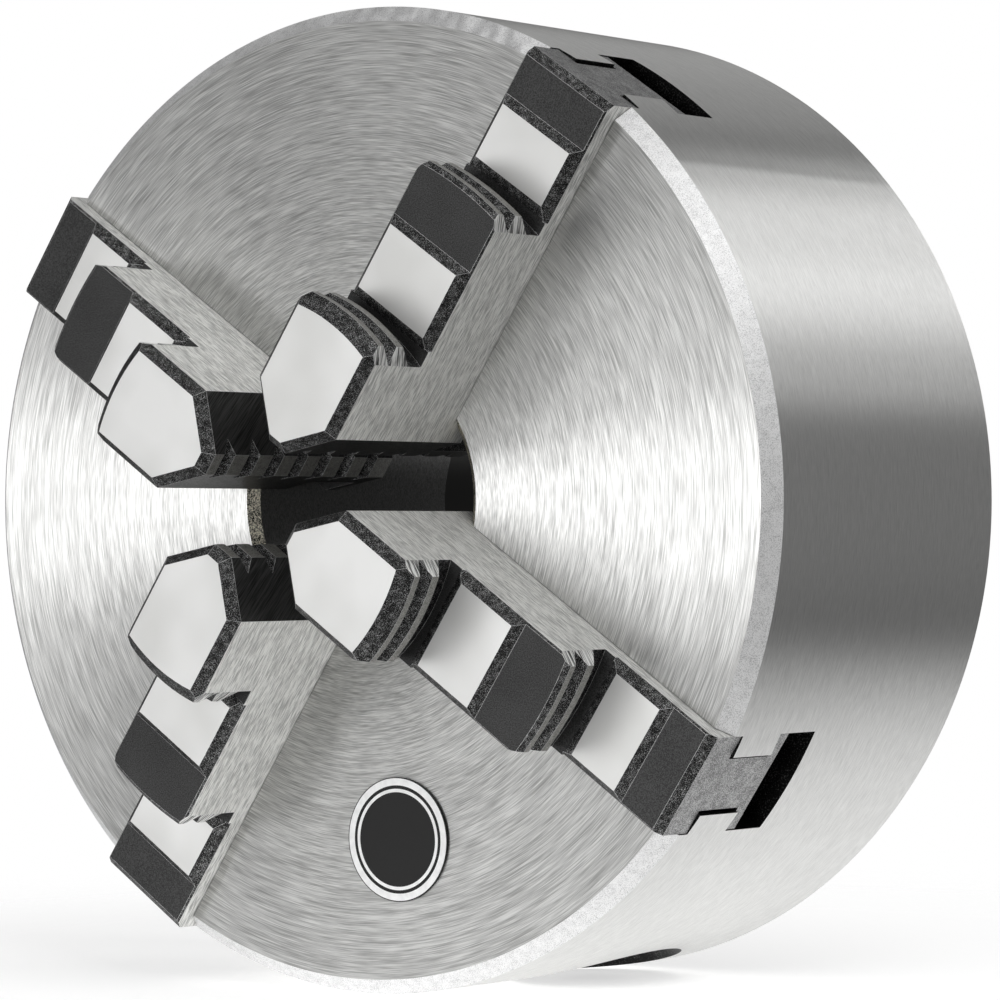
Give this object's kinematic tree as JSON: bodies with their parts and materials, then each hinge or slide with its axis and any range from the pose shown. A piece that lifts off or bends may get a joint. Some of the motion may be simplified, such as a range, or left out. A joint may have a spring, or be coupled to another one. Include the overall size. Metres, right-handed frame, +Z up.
{
  "type": "lathe chuck",
  "caption": "Self-centring scroll chuck for a lathe: round steel body with radial stepped jaws in T-slots, key pinions in the side and a register at the back.",
  "frame": {"origin": "centre of the rear register, on the plane of the rear rim that seats against the lathe's adaptor plate", "axes": "+Y runs back along the spindle axis into the lathe, so the jaws face -Y; +Z is up and +X is to the right when facing the jaws"},
  "size_m": [0.16, 0.0952, 0.16],
  "materials": {
    "ground_steel": "turned and ground",
    "cover_steel": "turned",
    "scroll_steel": "machined",
    "pinion_steel": "hardened and blackened",
    "black_screws": "black oxide",
    "jaw_steel": "hardened, ground on the faces and gripping pads, blackened elsewhere",
    "badge_black": "satin black with white rings"
  },
  "bodies": {
    "chuck_body": {"body": "ground_steel", "cover_plate": "cover_steel", "pinion_screw_1": "black_screws", "pinion_screw_2": "black_screws", "cover_screw_1": "black_screws", "cover_screw_2": "black_screws", "cover_screw_3": "black_screws", "cover_screw_4": "black_screws", "cover_screw_5": "black_screws", "cover_screw_6": "black_screws", "cover_screw_7": "black_screws", "cover_screw_8": "black_screws", "badge": "badge_black"},
    "scroll": {"scroll": "scroll_steel"},
    "pinion_1": {"pinion_1": "pinion_steel"},
    "pinion_2": {"pinion_2": "pinion_steel"},
    "jaw_1": {"jaw_1": "jaw_steel"},
    "jaw_2": {"jaw_2": "jaw_steel"},
    "jaw_3": {"jaw_3": "jaw_steel"},
    "jaw_4": {"jaw_4": "jaw_steel"}
  },
  "joints": [
    {"name": "scroll_turn", "type": "hinge", "parent": "chuck_body", "child": "scroll", "pos_m": [0, -0.03, 0], "axis": [0, -1, 0], "range_deg": [-780, 335]},
    {"name": "jaw_1_slide", "type": "slide", "parent": "chuck_body", "child": "jaw_1", "axis": [0.5563, 0, 0.831], "range_m": [-0.00746, 0.01735]},
    {"name": "jaw_2_slide", "type": "slide", "parent": "chuck_body", "child": "jaw_2", "axis": [0.831, 0, -0.5563], "range_m": [-0.00746, 0.01735]},
    {"name": "jaw_3_slide", "type": "slide", "parent": "chuck_body", "child": "jaw_3", "axis": [-0.5563, 0, -0.831], "range_m": [-0.00746, 0.01735]},
    {"name": "jaw_4_slide", "type": "slide", "parent": "chuck_body", "child": "jaw_4", "axis": [-0.831, 0, 0.5563], "range_m": [-0.00746, 0.01735]},
    {"name": "pinion_1_turn", "type": "hinge", "parent": "chuck_body", "child": "pinion_1", "pos_m": [0.01321, -0.0214, -0.06671], "axis": [0.1942, 0, -0.981], "range_deg": [-1680, 3905]},
    {"name": "pinion_2_turn", "type": "hinge", "parent": "chuck_body", "child": "pinion_2", "pos_m": [-0.01321, -0.0214, 0.06671], "axis": [-0.1942, 0, 0.981], "range_deg": [-1680, 3905]}
  ],
  "couplings": [
    {"joint": "jaw_1_slide", "follows": "scroll_turn", "m_per_rad": -0.0012732},
    {"joint": "jaw_2_slide", "follows": "scroll_turn", "m_per_rad": -0.0012732},
    {"joint": "jaw_3_slide", "follows": "scroll_turn", "m_per_rad": -0.0012732},
    {"joint": "jaw_4_slide", "follows": "scroll_turn", "m_per_rad": -0.0012732},
    {"joint": "pinion_1_turn", "follows": "scroll_turn", "ratio": -5},
    {"joint": "pinion_2_turn", "follows": "scroll_turn", "ratio": -5}
  ]
}
